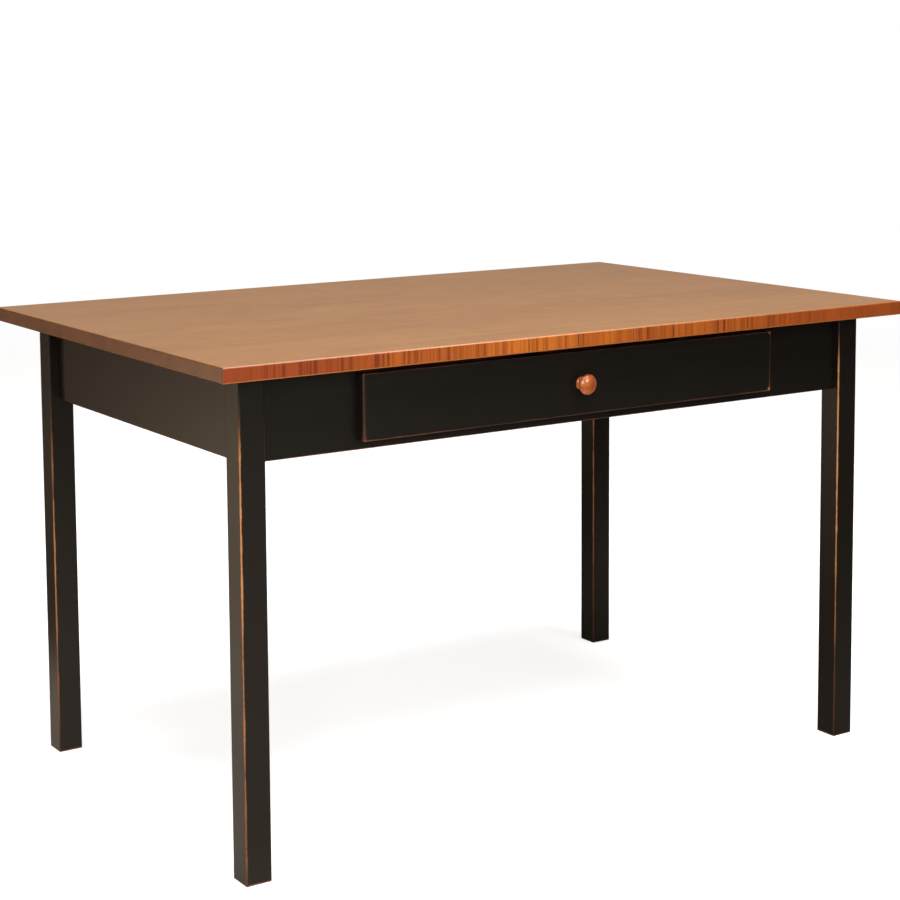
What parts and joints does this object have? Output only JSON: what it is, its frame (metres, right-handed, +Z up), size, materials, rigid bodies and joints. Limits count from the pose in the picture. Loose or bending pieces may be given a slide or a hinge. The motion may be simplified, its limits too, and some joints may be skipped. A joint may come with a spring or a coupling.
{
  "type": "writing and sewing desk with one drawer",
  "caption": "Shaker-style desk: overhanging boarded wooden top on square painted legs and aprons, with a wide shallow drawer on ball-bearing slides and a turned knob.",
  "frame": {"origin": "on the floor, under the centre of the top", "axes": "+X along the front towards the desk's right end as seen from the front, +Y towards the back, +Z up; the drawer opens along -Y"},
  "size_m": [1.29, 0.842, 0.762],
  "materials": {
    "stained_top": "stained maple under satin lacquer, curly figure along the front edge",
    "painted_wood": "satin black paint, hand-rubbed to orange-brown wood along the edges",
    "knob_wood": "stained maple under gloss lacquer",
    "plain_hardwood": "planed hardwood, unfinished",
    "drawer_maple": "maple under thin clear lacquer",
    "drawer_plywood": "birch-faced plywood, clear lacquer",
    "zinc_steel": "bright zinc plating",
    "ball_steel": "polished bearing steel",
    "bumper_rubber": "soft grey rubber"
  },
  "bodies": {
    "desk_frame": {"top_board_1": "stained_top", "top_board_2": "stained_top", "top_board_3": "stained_top", "top_board_4": "stained_top", "top_board_5": "stained_top", "leg_front_left": "painted_wood", "leg_front_right": "painted_wood", "leg_back_left": "painted_wood", "leg_back_right": "painted_wood", "apron_left": "painted_wood", "apron_right": "painted_wood", "apron_back": "painted_wood", "front_rail_upper": "painted_wood", "front_rail_lower": "painted_wood", "front_panel_left": "painted_wood", "front_panel_right": "painted_wood", "corner_brace_front_left": "plain_hardwood", "corner_brace_front_right": "plain_hardwood", "corner_brace_back_left": "plain_hardwood", "corner_brace_back_right": "plain_hardwood", "corner_brace_screws": "zinc_steel", "top_buttons": "plain_hardwood", "top_button_screws": "zinc_steel", "drawer_runner_left": "plain_hardwood", "drawer_runner_right": "plain_hardwood", "slide_cabinet_member_left": "zinc_steel", "slide_cabinet_member_right": "zinc_steel", "slide_cabinet_screws": "zinc_steel"},
    "drawer": {"drawer_front": "painted_wood", "drawer_box_front": "drawer_maple", "drawer_box_back": "drawer_maple", "drawer_side_left": "drawer_maple", "drawer_side_right": "drawer_maple", "drawer_bottom": "drawer_plywood", "drawer_front_screws": "zinc_steel", "drawer_bumpers": "bumper_rubber", "knob": "knob_wood", "knob_screw": "zinc_steel", "slide_drawer_member_left": "zinc_steel", "slide_drawer_member_right": "zinc_steel", "slide_drawer_screws": "zinc_steel"},
    "middle_slide_left": {"slide_middle_member_left": "zinc_steel"},
    "outer_balls_left": {"ball_cage_outer_left": "zinc_steel", "balls_outer_left": "ball_steel"},
    "inner_balls_left": {"ball_cage_inner_left": "zinc_steel", "balls_inner_left": "ball_steel"},
    "middle_slide_right": {"slide_middle_member_right": "zinc_steel"},
    "outer_balls_right": {"ball_cage_outer_right": "zinc_steel", "balls_outer_right": "ball_steel"},
    "inner_balls_right": {"ball_cage_inner_right": "zinc_steel", "balls_inner_right": "ball_steel"}
  },
  "joints": [
    {"name": "drawer_slide", "type": "slide", "parent": "desk_frame", "child": "drawer", "axis": [0, -1, 0], "range_m": [0, 0.5]},
    {"name": "middle_slide_left_travel", "type": "slide", "parent": "desk_frame", "child": "middle_slide_left", "axis": [0, -1, 0], "range_m": [0, 0.25]},
    {"name": "outer_balls_left_travel", "type": "slide", "parent": "desk_frame", "child": "outer_balls_left", "axis": [0, -1, 0], "range_m": [0, 0.125]},
    {"name": "inner_balls_left_travel", "type": "slide", "parent": "desk_frame", "child": "inner_balls_left", "axis": [0, -1, 0], "range_m": [0, 0.375]},
    {"name": "middle_slide_right_travel", "type": "slide", "parent": "desk_frame", "child": "middle_slide_right", "axis": [0, -1, 0], "range_m": [0, 0.25]},
    {"name": "outer_balls_right_travel", "type": "slide", "parent": "desk_frame", "child": "outer_balls_right", "axis": [0, -1, 0], "range_m": [0, 0.125]},
    {"name": "inner_balls_right_travel", "type": "slide", "parent": "desk_frame", "child": "inner_balls_right", "axis": [0, -1, 0], "range_m": [0, 0.375]}
  ],
  "couplings": [
    {"joint": "middle_slide_left_travel", "follows": "drawer_slide", "ratio": 0.5},
    {"joint": "outer_balls_left_travel", "follows": "drawer_slide", "ratio": 0.25},
    {"joint": "inner_balls_left_travel", "follows": "drawer_slide", "ratio": 0.75},
    {"joint": "middle_slide_right_travel", "follows": "drawer_slide", "ratio": 0.5},
    {"joint": "outer_balls_right_travel", "follows": "drawer_slide", "ratio": 0.25},
    {"joint": "inner_balls_right_travel", "follows": "drawer_slide", "ratio": 0.75}
  ]
}
